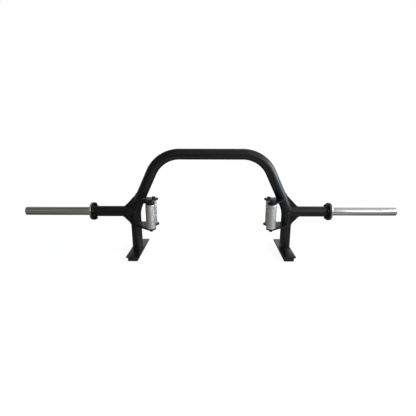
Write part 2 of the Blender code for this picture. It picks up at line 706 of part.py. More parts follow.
def make_foot_screws():
    """Two socket screws a foot, heads up inside the pad's recesses."""
    screw = make_socket_screw(
        PAD_SCREW_DIAMETER,
        PAD_HEIGHT + PAD_SCREW_BITE - PAD_SCREW_RECESS_DEPTH - GAP,
        PAD_SCREW_HEAD_DIAMETER,
        PAD_SCREW_HEAD_HEIGHT,
        PAD_SCREW_KEY,
    )
    for side_name, side in SIDES:
        for end_name, end in (("front", -1.0), ("rear", 1.0)):
            piece = place(f"foot_screw_{side_name}_{end_name}", screw, "black_oxide")
            piece.location = (side * FOOT_X, end * PAD_SCREW_Y, PAD_SCREW_RECESS_DEPTH - GAP)
            piece.rotation_euler = (math.pi, 0.0, 0.0)


clear_scene()
bar = new_collection("half_hex_trap_bar")
cutters = new_collection("cutters")
arch_space = make_arch()
for name_of_side, sign in SIDES:
    arm_space = make_arm(name_of_side, sign, arch_space)
    make_gussets(name_of_side, sign, arch_space, arm_space)
    make_flanges(name_of_side, sign)
    make_sleeve(name_of_side, sign)
    make_handle_plates(name_of_side, sign, arch_space)
    make_grips(name_of_side, sign)
    make_grip_fasteners(name_of_side, sign)
    make_foot(name_of_side, sign)
make_flange_screws()
make_foot_screws()
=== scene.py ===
"""Looks of the half hex trap bar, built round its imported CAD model.

X runs along the plate sleeves, -Y is the side with the thick grips, +Z is up. Lengths are metres.
"""
import math

import bmesh
import bpy
import numpy as np
from mathutils import Matrix, Vector


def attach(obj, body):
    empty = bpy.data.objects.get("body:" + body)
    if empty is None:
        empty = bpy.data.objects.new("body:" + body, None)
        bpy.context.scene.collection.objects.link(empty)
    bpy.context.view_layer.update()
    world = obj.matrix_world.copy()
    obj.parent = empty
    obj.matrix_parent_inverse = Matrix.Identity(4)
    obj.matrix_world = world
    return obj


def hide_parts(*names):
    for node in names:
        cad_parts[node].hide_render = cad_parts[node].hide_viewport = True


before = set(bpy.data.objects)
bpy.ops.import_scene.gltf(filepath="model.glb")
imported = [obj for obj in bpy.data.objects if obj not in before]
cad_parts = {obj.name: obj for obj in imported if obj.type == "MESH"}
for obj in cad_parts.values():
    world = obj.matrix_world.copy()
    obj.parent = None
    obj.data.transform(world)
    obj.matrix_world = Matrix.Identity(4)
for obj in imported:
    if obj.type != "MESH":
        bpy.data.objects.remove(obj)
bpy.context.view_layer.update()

# The sizes as far as the feet are shared with the CAD model

# Bent arch
TUBE_RADIUS = 0.03175
TUBE_WALL = 0.004
AXIS_HEIGHT = 0.266
LEG_X = 0.465
LOWER_BEND_HEIGHT = 0.239
LOWER_BEND_RADIUS = 0.180
LEG_SLANT = math.radians(25.4)
TOP_HEIGHT = 0.6145
TOP_BEND_RADIUS = 0.188

# Arms, flanges and sleeves
FLANGE_RADIUS = 0.054
FLANGE_BORE = 0.013
ARM_FLANGE_X = 0.713
FLANGE_JOINT_X = 0.724
SLEEVE_SHOULDER_X = 0.734
SLEEVE_END_X = 1.134
SLEEVE_RADIUS = 0.025
SLEEVE_WALL = 0.006
END_CAP_LIP = 0.003
END_CAP_DEPTH = 0.012

# Gussets, each as its (x, z) points on the leg and on the arm
GUSSET_THICKNESS = 0.008
GUSSET_OVERRUN = 0.009
GUSSET_SEARCH = 400
GUSSET_STEPS = 24
UPPER_GUSSET = ((0.4515, 0.380), (0.530, 0.298))
LOWER_GUSSET = ((0.4965, 0.183), (0.542, 0.234))

# Handle plates
PLATE_THICKNESS = 0.008
LOWER_PLATE_TOP = 0.191
UPPER_PLATE_TOP = 0.349
LOBE_RADIUS = 0.028
LOBE_BLEND_RADIUS = 0.060
COLLAR_MARGIN = 0.004
PRONG_REACH = 0.010
PRONG_WELD = PRONG_REACH * 0.9

# Grips, each with its bolt and nut
FAT_GRIP = (0.354, -0.100)
THIN_GRIP = (0.350, -0.005)
GRIPS = (
    {"name": "fat_grip", "spot": FAT_GRIP, "radius": 0.028, "bore": 0.021, "length": 0.143,
     "shank": 0.008, "flats": 0.024, "head": 0.015, "flange": 0.017, "nut": 0.011, "pitch": 0.002},
    {"name": "thin_grip", "spot": THIN_GRIP, "radius": 0.016, "bore": 0.0109, "length": 0.1475,
     "shank": 0.006, "flats": 0.018, "head": 0.0105, "flange": 0.013, "nut": 0.010, "pitch": 0.00175},
)
GRIP_CLEARANCE = 0.0007
BOLT_FLANGE = 0.003
BOLT_END = 0.0025
BOLT_THREADED = 0.3
BOLT_TURN = 0.35
NUT_TURN = 0.9
NEXT_TURN = 0.5
SIDE_TURN = 0.2

# Flange screws
FLANGE_SCREW = {"shank": 0.005, "reach": 0.019, "head": 0.008, "height": 0.010, "key": 0.008}
SCREW_COUNT = 6
SCREW_CIRCLE = 0.043
SCREW_TURN = {"left": math.radians(-8), "right": math.radians(12)}
SCREW_SEED = {"left": 7, "right": 11}

# Feet
FOOT_X = 0.4625
PAD_WIDTH = 0.058
PAD_HEIGHT = 0.020
FOOT_LENGTH = 0.305
FOOT_WIDTH = 0.080
FOOT_THICKNESS = 0.008
FOOT_CORNER = 0.004
PAD_SCREW_Y = 0.105
PAD_RECESS_RADIUS = 0.008
PAD_RECESS_DEPTH = 0.009

# Clearances, facets and edge finish
GAP = 0.0003
EMBED = 0.0012
CUT_OVERRUN = 0.004
MERGE_DISTANCE = 0.000002
COLUMNS = 96
SCREW_COLUMNS = 72
HOLE_COLUMNS = 48
FLANGE_EDGE_STEPS = 6
EDGE = 0.0009
PAD_EDGE = 0.0012
ARM_FLANGE_EDGE = 0.0016
SLEEVE_FLANGE_EDGE = 0.0049
SLEEVE_EDGE = 0.0004
PLUG_EDGE = 0.0005
GRIP_EDGE = 0.0018
BORE_EDGE = 0.0005
HEAD_KNURL = 0.00012
LEAST_BEND = math.radians(20)
EASE_SHARE = 0.45
HEX_CHAMFER = math.tan(math.radians(30))
SHARP = math.radians(32)
KNURL_SHARP = math.radians(14)
SIDES = (("left", -1.0), ("right", 1.0))

# Weld beads: width as a share of the radius, a ripple for each pitch, and a slower wander
BEAD_RADIUS = 0.0044
GUSSET_BEAD = 0.0042
BEAD_PITCH = 0.0034
BEAD_STEPS = 6.0
BEAD_SIDES = 10
BEAD_WIDTH = 0.81
BEAD_RIPPLE = 0.025
BEAD_WANDER = 0.26
WANDER_SCALE = 60.0
BEAD_SEED = 4.0

# Knurl on the grips: a pyramid for each pitch, round and along
KNURL_PITCH = 0.0017
KNURL_DEPTH = 0.00017
KNURL_MARGIN = 0.0055
KNURL_LEAD = 0.0006

# Finishes: the range of most noise, then each one's darker and lighter tone and its roughness
NOISE_RANGE = (0.3, 0.7)
WHITE = (1.0, 1.0, 1.0)
COAT_TONES = ((0.0028, 0.0027, 0.0023), (0.0054, 0.0052, 0.0047))
COAT_ROUGHNESS = (0.31, 0.40)
COAT_DUST = (0.045, 0.044, 0.042)
OXIDE_TONES = ((0.008, 0.008, 0.008), (0.028, 0.027, 0.026))
OXIDE_ROUGHNESS = (0.32, 0.48)
CHROME_TONES = ((0.575, 0.57, 0.555), (0.665, 0.665, 0.66))
CHROME_ROUGHNESS = (0.09, 0.22)
TURNED_ROUGHNESS = (0.22, 0.32)
KNURL_TONES = ((0.50, 0.49, 0.475), (0.90, 0.895, 0.885))
KNURL_ROUGHNESS = (0.40, 0.27)
RUBBER_TONES = ((0.010, 0.010, 0.010), (0.024, 0.023, 0.022))
RUBBER_ROUGHNESS = (0.78, 0.9)
NYLON_TONES = ((0.022, 0.022, 0.022), (0.036, 0.036, 0.035))
NYLON_ROUGHNESS = (0.45, 0.6)

# Camera: its lens in pixels of the photograph, its place, and its tilt in degrees
PICTURE_WIDTH = 416
FOCAL_PIXELS = 320.0
PRINCIPAL_X = 213.6
SENSOR_WIDTH = 36.0
CAMERA_PLACE = (0.015, -1.8984, 0.8014)
CAMERA_PITCH = 15.167
CAMERA_ROLL = 0.135

# Floor as the camera sees it: shadow near the object, white further out
FLOOR_REACH = 40.0
FLOOR_NEAR = 0.9
FLOOR_FAR = 2.4
FLOOR_SHADOW = 0.24
FLOOR_LEVEL = 0.42
FLOOR_TONES = ((0.80, 0.80, 0.80), (0.84, 0.84, 0.84))

# Floor in the gloss, painted light and shade: levels as (axis, from, to, level before, level after),
# multiplied together
PAINTED_FLOOR_LIGHT_LEVELS = (
    ("X", -1.25, 0.35, 0.22, 0.76),
    ("X", 0.5, 1.25, 1.0, 0.62),
    ("Y", -1.5, -0.55, 0.50, 1.0),
    ("Y", -0.6, -0.05, 1.0, 0.42),
    ("Y", 0.0, 0.35, 1.0, 0.2),
)
# Painted shadow bands in front as (x, depth), and painted pools of light under the grips as (x, y, reach,
# gain)
PAINTED_FLOOR_SHADOWS = ((-0.14, 0.45), (0.62, 0.65))
PAINTED_SHADOW_REACH = 0.42
PAINTED_SHADOW_FRONT = (-0.75, -0.4)
PAINTED_LIGHT_POOLS = ((-0.33, -0.06, 0.26, 0.6), (0.37, 0.06, 0.16, 0.45))
# Painted tint of the light on the floor in the gloss, warm on the left and cool on the right, over this
# spread of x
PAINTED_LIGHT_TINTS = ((1.0, 0.95, 0.88), (0.94, 0.97, 1.0))
PAINTED_TINT_SPREAD = (-0.9, 1.1)

# Colours of the room in the gloss, at shares of the way from the front horizon over to the back
ROOM_LEFT = (
    (0.0, (0.20, 0.195, 0.175)), (0.08, (0.185, 0.18, 0.16)), (0.22, (0.27, 0.255, 0.23)),
    (0.38, (0.10, 0.098, 0.085)), (0.59, (0.19, 0.165, 0.135)), (0.77, (0.28, 0.27, 0.26)),
    (0.885, (0.18, 0.18, 0.18)), (0.94, (0.95, 0.95, 0.95)),
)
ROOM_RIGHT = (
    (0.0, (0.60, 0.62, 0.63)), (0.10, (0.68, 0.70, 0.71)), (0.39, (0.83, 0.84, 0.80)),
    (0.59, (0.66, 0.68, 0.60)), (0.77, (0.65, 0.66, 0.66)), (0.885, (0.38, 0.38, 0.39)),
    (0.94, (1.0, 1.0, 1.0)),
)
ROOM_SPREAD = (-0.28, 0.34)
AMBIENT = (0.42, 0.42, 0.43)


# Helpers for node trees

def put(tree, socket, value):
    """Link a socket to an input, or set its value; a colour may lack its alpha."""
    if isinstance(value, bpy.types.NodeSocket):
        tree.links.new(value, socket)
    elif socket.type == "RGBA" and len(value) == 3:
        socket.default_value = (*value, 1.0)
    else:
        socket.default_value = value


def add(tree, kind, inputs=None, **settings):
    """Node with its settings and inputs; an input given as a socket is linked."""
    node = tree.nodes.new(kind)
    for key, value in settings.items():
        setattr(node, key, value)
    for key, value in (inputs or {}).items():
        put(tree, node.inputs[key], value)
    return node


def calc(tree, operation, first, second=0.0):
    """Result of one arithmetic step."""
    return add(tree, "ShaderNodeMath", {0: first, 1: second}, operation=operation).outputs[0]


def product(tree, first, *others):
    """Several values multiplied together."""
    for other in others:
        first = calc(tree, "MULTIPLY", first, other)
    return first


def vector(tree, operation, inputs, output="Vector"):
    """Result of one step with vectors."""
    return add(tree, "ShaderNodeVectorMath", inputs, operation=operation).outputs[output]


def ranged(tree, value, low, high, to_low=0.0, to_high=1.0, smooth=False):
    """Value mapped from one range to another, and held at its ends."""
    kind = "SMOOTHSTEP" if smooth else "LINEAR"
    inputs = {"Value": value, "From Min": low, "From Max": high, "To Min": to_low, "To Max": to_high}
    return add(tree, "ShaderNodeMapRange", inputs, interpolation_type=kind).outputs["Result"]


def mixed(tree, factor, first, second):
    """Mix of two colours, each a colour or a socket."""
    return add(tree, "ShaderNodeMix", {0: factor, 6: first, 7: second}, data_type="RGBA").outputs[2]


# Materials

def surface(name, metallic, specular=0.5):
    """New material: its tree, its shader and its object coordinates."""
    material = bpy.data.materials.new(name)
    material.use_nodes = True
    tree = material.node_tree
    shader = tree.nodes["Principled BSDF"]
    shader.inputs["Metallic"].default_value = metallic
    shader.inputs["Specular IOR Level"].default_value = specular
    place = tree.nodes.new("ShaderNodeTexCoord").outputs["Object"]
    return material, tree, shader, place


def noise(tree, place, scale, detail=2.0, stretch=None):
    """Noise value at a scale per metre, drawn out by a stretch on each axis."""
    if stretch:
        place = add(tree, "ShaderNodeMapping", {"Vector": place, "Scale": stretch}).outputs[0]
    inputs = {"Vector": place, "Scale": scale, "Detail": detail}
    return add(tree, "ShaderNodeTexNoise", inputs).outputs["Fac"]


def dress(tree, shader, tone, roughness, height, strength, distance):
    """Give the shader its tone, its roughness and a fine relief."""
    relief = add(tree, "ShaderNodeBump", {"Height": height, "Strength": strength, "Distance": distance})
    put(tree, shader.inputs["Base Color"], tone)
    put(tree, shader.inputs["Roughness"], roughness)
    put(tree, shader.inputs["Normal"], relief.outputs["Normal"])


def powder_coat():
    """Satin black powder coat with orange peel, faint mottling and a little dust."""
    material, tree, shader, place = surface("black_powder_coat", metallic=0.0, specular=0.42)
    mottle = noise(tree, place, scale=28.0, detail=4.0)
    dust = ranged(tree, noise(tree, place, scale=420.0, detail=3.0), 0.62, 0.78)
    patch = ranged(tree, noise(tree, place, scale=5.0), 0.42, 0.68, 0.0, 0.5)
    tone = mixed(tree, mottle, *COAT_TONES)
    tone = mixed(tree, product(tree, dust, patch), tone, COAT_DUST)
    roughness = ranged(tree, mottle, *NOISE_RANGE, *COAT_ROUGHNESS)
    peel = noise(tree, place, scale=1300.0)
    dress(tree, shader, tone, roughness, peel, strength=0.20, distance=0.0004)
    return material


def black_oxide():
    """Oiled black oxide on the fasteners."""
    material, tree, shader, place = surface("black_oxide", metallic=0.35)
    mottle = noise(tree, place, scale=160.0, detail=4.0)
    tone = mixed(tree, mottle, *OXIDE_TONES)
    roughness = ranged(tree, mottle, *NOISE_RANGE, *OXIDE_ROUGHNESS)
    grain = noise(tree, place, scale=2400.0)
    dress(tree, shader, tone, roughness, grain, strength=0.18, distance=0.0002)
    return material


def chrome(name, least_rough, most_rough):
    """Chrome plate with turning marks round the sleeve and rub marks along it."""
    material, tree, shader, place = surface(name, metallic=1.0)
    rub = noise(tree, place, scale=1.0, detail=3.0, stretch=(3.0, 420.0, 420.0))
    marks = product(tree, rub, noise(tree, place, scale=22.0, detail=3.0))
    tone = mixed(tree, ranged(tree, rub, 0.35, 0.65), *CHROME_TONES)
    roughness = ranged(tree, marks, 0.15, 0.4, least_rough, most_rough)
    turning = noise(tree, place, scale=1.0, stretch=(2600.0, 30.0, 30.0))
    dress(tree, shader, tone, roughness, turning, strength=0.10, distance=0.0001)
    return material


def knurled_steel():
    """Plated knurl, rougher down in its grooves, where painted shade darkens it, with a random spread of
    wear.
    """
    material, tree, shader, place = surface("knurled_steel", metallic=1.0)
    height = add(tree, "ShaderNodeAttribute", attribute_name="knurl_height").outputs["Fac"]
    wear = noise(tree, place, scale=45.0, detail=4.0)
    # Painted shade: darker by the depth of the knurl's grooves, spread at random by wear
    groove_shade_and_wear = product(tree, height, ranged(tree, wear, *NOISE_RANGE, 0.75, 1.0))
    tone = mixed(tree, groove_shade_and_wear, *KNURL_TONES)
    roughness = ranged(tree, groove_shade_and_wear, 0.0, 1.0, *KNURL_ROUGHNESS)
    grain = noise(tree, place, scale=3000.0)
    dress(tree, shader, tone, roughness, grain, strength=0.10, distance=0.0001)
    return material


def rubber():
    """Matt black rubber with a moulded grain and some dust on it."""
    material, tree, shader, place = surface("rubber", metallic=0.0, specular=0.35)
    grain = noise(tree, place, scale=900.0, detail=3.0)
    dust = ranged(tree, noise(tree, place, scale=70.0, detail=4.0), 0.5, 0.75)
    tone = mixed(tree, dust, *RUBBER_TONES)
    roughness = ranged(tree, dust, 0.0, 1.0, *RUBBER_ROUGHNESS)
    dress(tree, shader, tone, roughness, grain, strength=0.4, distance=0.0005)
    return material


def nylon():
    """Plain black nylon, slightly waxy, with fine turning marks."""
    material, tree, shader, place = surface("nylon", metallic=0.0, specular=0.45)
    turning = noise(tree, place, scale=1.0, stretch=(40.0, 40.0, 2200.0))
    tone = mixed(tree, turning, *NYLON_TONES)
    roughness = ranged(tree, turning, *NOISE_RANGE, *NYLON_ROUGHNESS)
    dress(tree, shader, tone, roughness, turning, strength=0.2, distance=0.0002)
    return material


# Mesh helpers

def linked(name, data):
    """Object for a mesh, a light or a camera, in the scene."""
    piece = bpy.data.objects.new(name, data)
    bpy.context.scene.collection.objects.link(piece)
    return piece


def settled(thing):
    """Plain mesh of an object with its modifiers done; the object itself goes."""
    bpy.context.view_layer.update()
    graph = bpy.context.evaluated_depsgraph_get()
    mesh = bpy.data.meshes.new_from_object(thing.evaluated_get(graph))
    bpy.data.objects.remove(thing, do_unlink=True)
    return mesh


def outward(mesh):
    """Weld a closed mesh's seams and point its faces outwards."""
    shell = bmesh.new()
    shell.from_mesh(mesh)
    bmesh.ops.remove_doubles(shell, verts=shell.verts, dist=MERGE_DISTANCE)
    bmesh.ops.recalc_face_normals(shell, faces=shell.faces)
    shell.to_mesh(mesh)
    shell.free()
    return mesh


def skin(rings, closed):
    """Mesh through rings of points, any of them one pole; closed joins the last to the first."""
    starts = np.cumsum([0] + [len(ring) for ring in rings])
    points = np.concatenate([np.asarray(ring, float) for ring in rings])
    faces = []
    for near in range(len(rings) if closed else len(rings) - 1):
        far = (near + 1) % len(rings)
        a, b = starts[near], starts[far]
        count = max(len(rings[near]), len(rings[far]))
        for i in range(count):
            j = (i + 1) % count
            if len(rings[near]) == 1:
                faces.append((a, b + i, b + j))
            elif len(rings[far]) == 1:
                faces.append((a + i, b, a + j))
            else:
                faces.append((a + i, b + i, b + j, a + j))
    mesh = bpy.data.meshes.new("skin")
    mesh.from_pydata(points.tolist(), [], [tuple(int(v) for v in face) for face in faces])
    return outward(mesh)


def spread(start, end, steps):
    """Values from start to end in so many equal steps, both included."""
    return [start + (end - start) * i / steps for i in range(steps + 1)]


def directions(columns):
    """Angles of so many columns round a full turn."""
    return np.arange(columns) * 2 * math.pi / columns


def turned(profile, columns, matrix=None):
    """Mesh turned about Z from (radius, height) rings; either may change with the angle.

    A profile that starts on the axis ends on it, and any other is closed on itself.
    """
    angles = directions(columns)
    rings = []
    for radius, height in profile:
        radius = np.broadcast_to(np.asarray(radius, float), angles.shape)
        height = np.broadcast_to(np.asarray(height, float), angles.shape)
        if radius.max() == 0.0:
            rings.append(np.array([(0.0, 0.0, height[0])]))
        else:
            rings.append(np.stack([radius * np.cos(angles), radius * np.sin(angles), height], axis=1))
    mesh = skin(rings, closed=len(rings[0]) > 1)
    if matrix:
        mesh.transform(matrix)
    return mesh


def eased(points, radius, steps=3, closed=True):
    """Outline with each real corner rounded off by short chords."""
    result = []
    count = len(points)
    for i, here in enumerate(points):
        here = Vector(here)
        back = Vector(points[i - 1]) - here
        ahead = Vector(points[(i + 1) % count]) - here
        bend = math.pi - back.angle(ahead)
        if bend < LEAST_BEND or (not closed and i in (0, count - 1)):
            result.append(tuple(here))
            continue
        reach = min(radius * math.tan(bend / 2), EASE_SHARE * min(back.length, ahead.length))
        start = here + back.normalized() * reach
        end = here + ahead.normalized() * reach
        for t in spread(0.0, 1.0, steps):
            result.append(tuple(start * (1 - t) ** 2 + here * 2 * t * (1 - t) + end * t ** 2))
    return result


def hexagon(flats):
    """Distance from a hexagon's middle to its side, for each column of a screw."""
    sector = math.pi / 3
    return flats / 2 / np.cos(np.mod(directions(SCREW_COLUMNS), sector) - sector / 2)


def slab(outline, thickness, matrix, edge=EDGE):
    """Plate with a drawn outline, centred on its thickness, its edges broken."""
    shell = bmesh.new()
    base = shell.faces.new([shell.verts.new((x, y, -thickness / 2)) for x, y in outline])
    grown = bmesh.ops.extrude_face_region(shell, geom=[base])
    raised = [v for v in grown["geom"] if isinstance(v, bmesh.types.BMVert)]
    bmesh.ops.translate(shell, verts=raised, vec=(0.0, 0.0, thickness))
    bmesh.ops.recalc_face_normals(shell, faces=shell.faces)
    rims = [e for e in shell.edges if len(e.link_faces) == 2 and e.calc_face_angle() > SHARP]
    bmesh.ops.bevel(shell, geom=rims, offset=edge, segments=2, profile=0.5, affect="EDGES",
                    clamp_overlap=True)
    mesh = bpy.data.meshes.new("slab")
    shell.to_mesh(mesh)
    shell.free()
    mesh.transform(matrix)
    return outward(mesh)


def plug(radius, top, bottom, matrix):
    """Closed cylinder about Z, to cut a round hole with."""
    return turned([(0.0, top), (radius, top), (radius, bottom), (0.0, bottom)], HOLE_COLUMNS, matrix)


def carved(mesh, cutters):
    """Mesh with others cut out of it."""
    piece = linked("carved", mesh)
    tools = [linked("cutter", cutter) for cutter in cutters]
    for tool in tools:
        step = piece.modifiers.new("cut", "BOOLEAN")
        step.operation = "DIFFERENCE"
        step.solver = "EXACT"
        step.object = tool
    result = settled(piece)
    for tool in tools:
        bpy.data.objects.remove(tool, do_unlink=True)
    return outward(result)


def on_axis(side, x, outwards=1.0):
    """Placing on the sleeves' axis, its Z pointing out to the end or in to the arm."""
    turn = Matrix.Rotation(outwards * side * math.pi / 2, 4, "Y")
    return Matrix.Translation((side * x, 0.0, AXIS_HEIGHT)) @ turn


def finish_piece(name, mesh, material, *nodes, body="frame", sharp=SHARP):
    """Put a mesh in the scene, riding on its body and standing for its CAD nodes."""
    piece = linked(name, mesh)
    if not mesh.materials:
        mesh.materials.append(material)
    mesh.shade_smooth()
    mesh.set_sharp_from_angle(angle=sharp)
    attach(piece, body)
    if nodes:
        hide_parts(*nodes)


# Geometry node trees

def growth_tree(name, floats, integers=()):
    """Tree with a geometry, named values and a material in, and a geometry out."""
    tree = bpy.data.node_groups.new(name, "GeometryNodeTree")
    given = {"Geometry": ("Geometry",), "Float": floats, "Int": integers, "Material": ("Material",)}
    for kind, labels in given.items():
        for label in labels:
            tree.interface.new_socket(label, in_out="INPUT", socket_type=f"NodeSocket{kind}")
    tree.interface.new_socket("Geometry", in_out="OUTPUT", socket_type="NodeSocketGeometry")
    return tree, tree.nodes.new("NodeGroupInput").outputs


def close_tree(tree, geometry, material):
    """Realise what the tree made and give it its material."""
    real = add(tree, "GeometryNodeRealizeInstances", {"Geometry": geometry})
    painted = add(tree, "GeometryNodeSetMaterial", {"Geometry": real.outputs[0], "Material": material})
    add(tree, "NodeGroupOutput", {"Geometry": painted.outputs[0]})
    return tree


def grown(host_mesh, tree, values):
    """Mesh that a tree makes from a host mesh and values for its named inputs."""
    host = linked("host", host_mesh)
    step = host.modifiers.new(tree.name, "NODES")
    step.node_group = tree
    for socket in tree.interface.items_tree:
        if socket.in_out == "INPUT" and socket.name in values:
            step[socket.identifier] = values[socket.name]
    return settled(host)


def weld_bead_tree():
    """Rippled bead of weld along every edge path of the host."""
    tree, given = growth_tree("weld_bead", ("Radius", "Pitch", "Seed"))
    path = add(tree, "GeometryNodeMeshToCurve", {"Mesh": given["Geometry"]})
    fine = add(tree, "GeometryNodeResampleCurve", {"Curve": path.outputs[0]}, mode="LENGTH")
    put(tree, fine.inputs["Length"], calc(tree, "DIVIDE", given["Pitch"], BEAD_STEPS))
    along = add(tree, "GeometryNodeSplineParameter").outputs["Length"]
    ripple = calc(tree, "SINE", calc(tree, "DIVIDE", product(tree, along, math.tau), given["Pitch"]))
    place = add(tree, "GeometryNodeInputPosition").outputs[0]
    wander = add(tree, "ShaderNodeTexNoise", {"Vector": place, "W": given["Seed"], "Scale": WANDER_SCALE},
                 noise_dimensions="4D").outputs["Fac"]
    width = calc(tree, "ADD", product(tree, ripple, BEAD_RIPPLE), product(tree, wander, BEAD_WANDER))
    width = calc(tree, "ADD", width, BEAD_WIDTH)
    section = add(tree, "GeometryNodeCurvePrimitiveCircle",
                  {"Resolution": BEAD_SIDES, "Radius": given["Radius"]})
    bead = add(tree, "GeometryNodeCurveToMesh", {
        "Curve": fine.outputs[0], "Profile Curve": section.outputs[0], "Scale": width, "Fill Caps": True,
    })
    return close_tree(tree, bead.outputs[0], given["Material"])


def screw_ring_tree():
    """The host screw set round a circle, each turned its own way."""
    tree, given = growth_tree("screw_ring", ("Circle",), ("Count", "Seed"))
    ring = add(tree, "GeometryNodeMeshCircle", {"Vertices": given["Count"], "Radius": given["Circle"]})
    turn = add(tree, "FunctionNodeRandomValue", {"Seed": given["Seed"]}, data_type="FLOAT")
    spin = add(tree, "ShaderNodeCombineXYZ", {"Z": product(tree, turn.outputs["Value"], math.tau)})
    placed = add(tree, "GeometryNodeInstanceOnPoints", {
        "Points": ring.outputs[0], "Instance": given["Geometry"], "Rotation": spin.outputs[0],
    })
    return close_tree(tree, placed.outputs[0], given["Material"])


def knurl_tree():
    """Diamond knurl pressed into the outer side of a turned grip that stands on Z."""
    tree, given = growth_tree("knurl", ("Radius", "Depth", "Round", "Pitch", "Bottom", "Top"))
    place = add(tree, "GeometryNodeInputPosition").outputs[0]
    split = add(tree, "ShaderNodeSeparateXYZ", {"Vector": place}).outputs
    angle = calc(tree, "ARCTAN2", split["Y"], split["X"])
    around = product(tree, calc(tree, "DIVIDE", angle, math.tau), given["Round"])
    along = calc(tree, "DIVIDE", calc(tree, "SUBTRACT", split["Z"], given["Bottom"]), given["Pitch"])
    ways = []
    for operation in ("ADD", "SUBTRACT"):
        helix = calc(tree, operation, around, along)
        ways.append(calc(tree, "ABSOLUTE", calc(tree, "SUBTRACT", helix, calc(tree, "ROUND", helix))))
    depth = calc(tree, "MAXIMUM", *ways)
    flat = add(tree, "ShaderNodeCombineXYZ", {"X": split["X"], "Y": split["Y"]}).outputs[0]
    reach = vector(tree, "LENGTH", {0: flat}, "Value")
    outer = calc(tree, "GREATER_THAN", reach, calc(tree, "SUBTRACT", given["Radius"], given["Depth"]))
    above = calc(tree, "GREATER_THAN", split["Z"], given["Bottom"])
    below = calc(tree, "LESS_THAN", split["Z"], given["Top"])
    cut = product(tree, depth, 2.0, outer, above, below)
    kept = add(tree, "GeometryNodeStoreNamedAttribute", {
        "Geometry": given["Geometry"], "Name": "knurl_height", "Value": calc(tree, "SUBTRACT", 1.0, cut),
    }, data_type="FLOAT", domain="POINT")
    press = product(tree, cut, given["Depth"], -1.0)
    shift = vector(tree, "SCALE", {0: vector(tree, "NORMALIZE", {0: flat}), "Scale": press})
    pressed = add(tree, "GeometryNodeSetPosition", {"Geometry": kept.outputs[0], "Offset": shift})
    return close_tree(tree, pressed.outputs[0], given["Material"])


# Shape of the arch

def bend_stations(centre_x, centre_z, radius, start, end, steps):
    """Stations round one bend of the arch."""
    return [(centre_x + radius * math.cos(a), centre_z + radius * math.sin(a), a)
            for a in spread(start, end, steps)]


def arch_stations(bottom, steps_low=14, steps_top=40):
    """Stations (x, z, lean of the outer side) along the arch, from right to left."""
    radius = LOWER_BEND_RADIUS
    low = bend_stations(LEG_X - radius, LOWER_BEND_HEIGHT, radius, 0.0, LEG_SLANT, steps_low)
    radius = TOP_BEND_RADIUS
    top_z = TOP_HEIGHT - radius
    rise = top_z + radius * math.sin(LEG_SLANT) - low[-1][1]
    top_x = low[-1][0] - rise * math.tan(LEG_SLANT) - radius * math.cos(LEG_SLANT)
    top = bend_stations(top_x, top_z, radius, LEG_SLANT, math.pi / 2, steps_top)
    right = [(LEG_X, bottom, 0.0), *low, *top]
    return right + [(-x, z, math.pi - a) for x, z, a in reversed(right)]


def station_ring(station, radius):
    """Ring of points round one station of the arch."""
    x, z, lean = station
    angles = directions(COLUMNS)
    out = radius * np.cos(angles)
    return np.stack([x + out * math.cos(lean), radius * np.sin(angles), z + out * math.sin(lean)], axis=1)


def leg_side_x(y, z, outer=1.0):
    """Distance from the middle plane to the leg's outer or inner side, at a depth and height."""
    reach = outer * math.sqrt(max(TUBE_RADIUS ** 2 - y * y, 0.0))
    if z <= LOWER_BEND_HEIGHT:
        return LEG_X + reach
    radius = LOWER_BEND_RADIUS + reach
    rise = z - LOWER_BEND_HEIGHT
    bend_rise = radius * math.sin(LEG_SLANT)
    if rise <= bend_rise:
        return LEG_X - LOWER_BEND_RADIUS + math.sqrt(radius ** 2 - rise ** 2)
    bend_x = LEG_X - LOWER_BEND_RADIUS + radius * math.cos(LEG_SLANT)
    return bend_x - (rise - bend_rise) * math.tan(LEG_SLANT)


def leg_centre_x(z):
    """Distance from the middle plane to the leg's middle at a height."""
    return (leg_side_x(0.0, z) + leg_side_x(0.0, z, -1.0)) / 2


def make_arch():
    """The bent tube, with its wall."""
    stations = arch_stations(PAD_HEIGHT + FOOT_THICKNESS)
    outer = [station_ring(s, TUBE_RADIUS) for s in stations]
    inner = [station_ring(s, TUBE_RADIUS - TUBE_WALL) for s in reversed(stations)]
    mesh = skin(outer + inner, closed=True)
    finish_piece("arch_tube_coated", mesh, coat, "arch_tube")


def arm_ring(radius, side, x):
    """Ring of points round an arm, square at x or else coped to the leg."""
    points = []
    for a in directions(COLUMNS):
        y, z = radius * math.cos(a), AXIS_HEIGHT + radius * math.sin(a)
        points.append((side * (leg_side_x(y, z) - EMBED if x is None else x), y, z))
    return points


def make_arm(hand, side):
    """Level tube from the leg to its flange."""
    inner = TUBE_RADIUS - TUBE_WALL
    corners = ((TUBE_RADIUS, None), (TUBE_RADIUS, ARM_FLANGE_X), (inner, ARM_FLANGE_X), (inner, None))
    mesh = skin([arm_ring(radius, side, x) for radius, x in corners], closed=True)
    finish_piece(f"arm_tube_coated_{hand}", mesh, coat, f"arm_tube_{hand}")


def gusset_border(ends, above, y, inset):
    """Edge of a right gusset along the leg and out to the arm, at a depth and inset."""
    leg, arm = map(Vector, ends)
    overrun = (arm - leg).normalized() * GUSSET_OVERRUN
    for share in spread(0.0, 1.0, GUSSET_SEARCH):
        corner = (arm + overrun).lerp(leg - overrun, share)
        if corner.x <= leg_side_x(y, corner.y):
            break
    heights = spread(corner.y, AXIS_HEIGHT + above * (TUBE_RADIUS - inset), GUSSET_STEPS)
    rim = AXIS_HEIGHT + above * (math.sqrt(TUBE_RADIUS ** 2 - y * y) - inset)
    end = leg.lerp(arm, (rim - leg.y) / (arm.y - leg.y))
    return [(leg_side_x(y, z) - inset, z) for z in heights] + [tuple(end)]


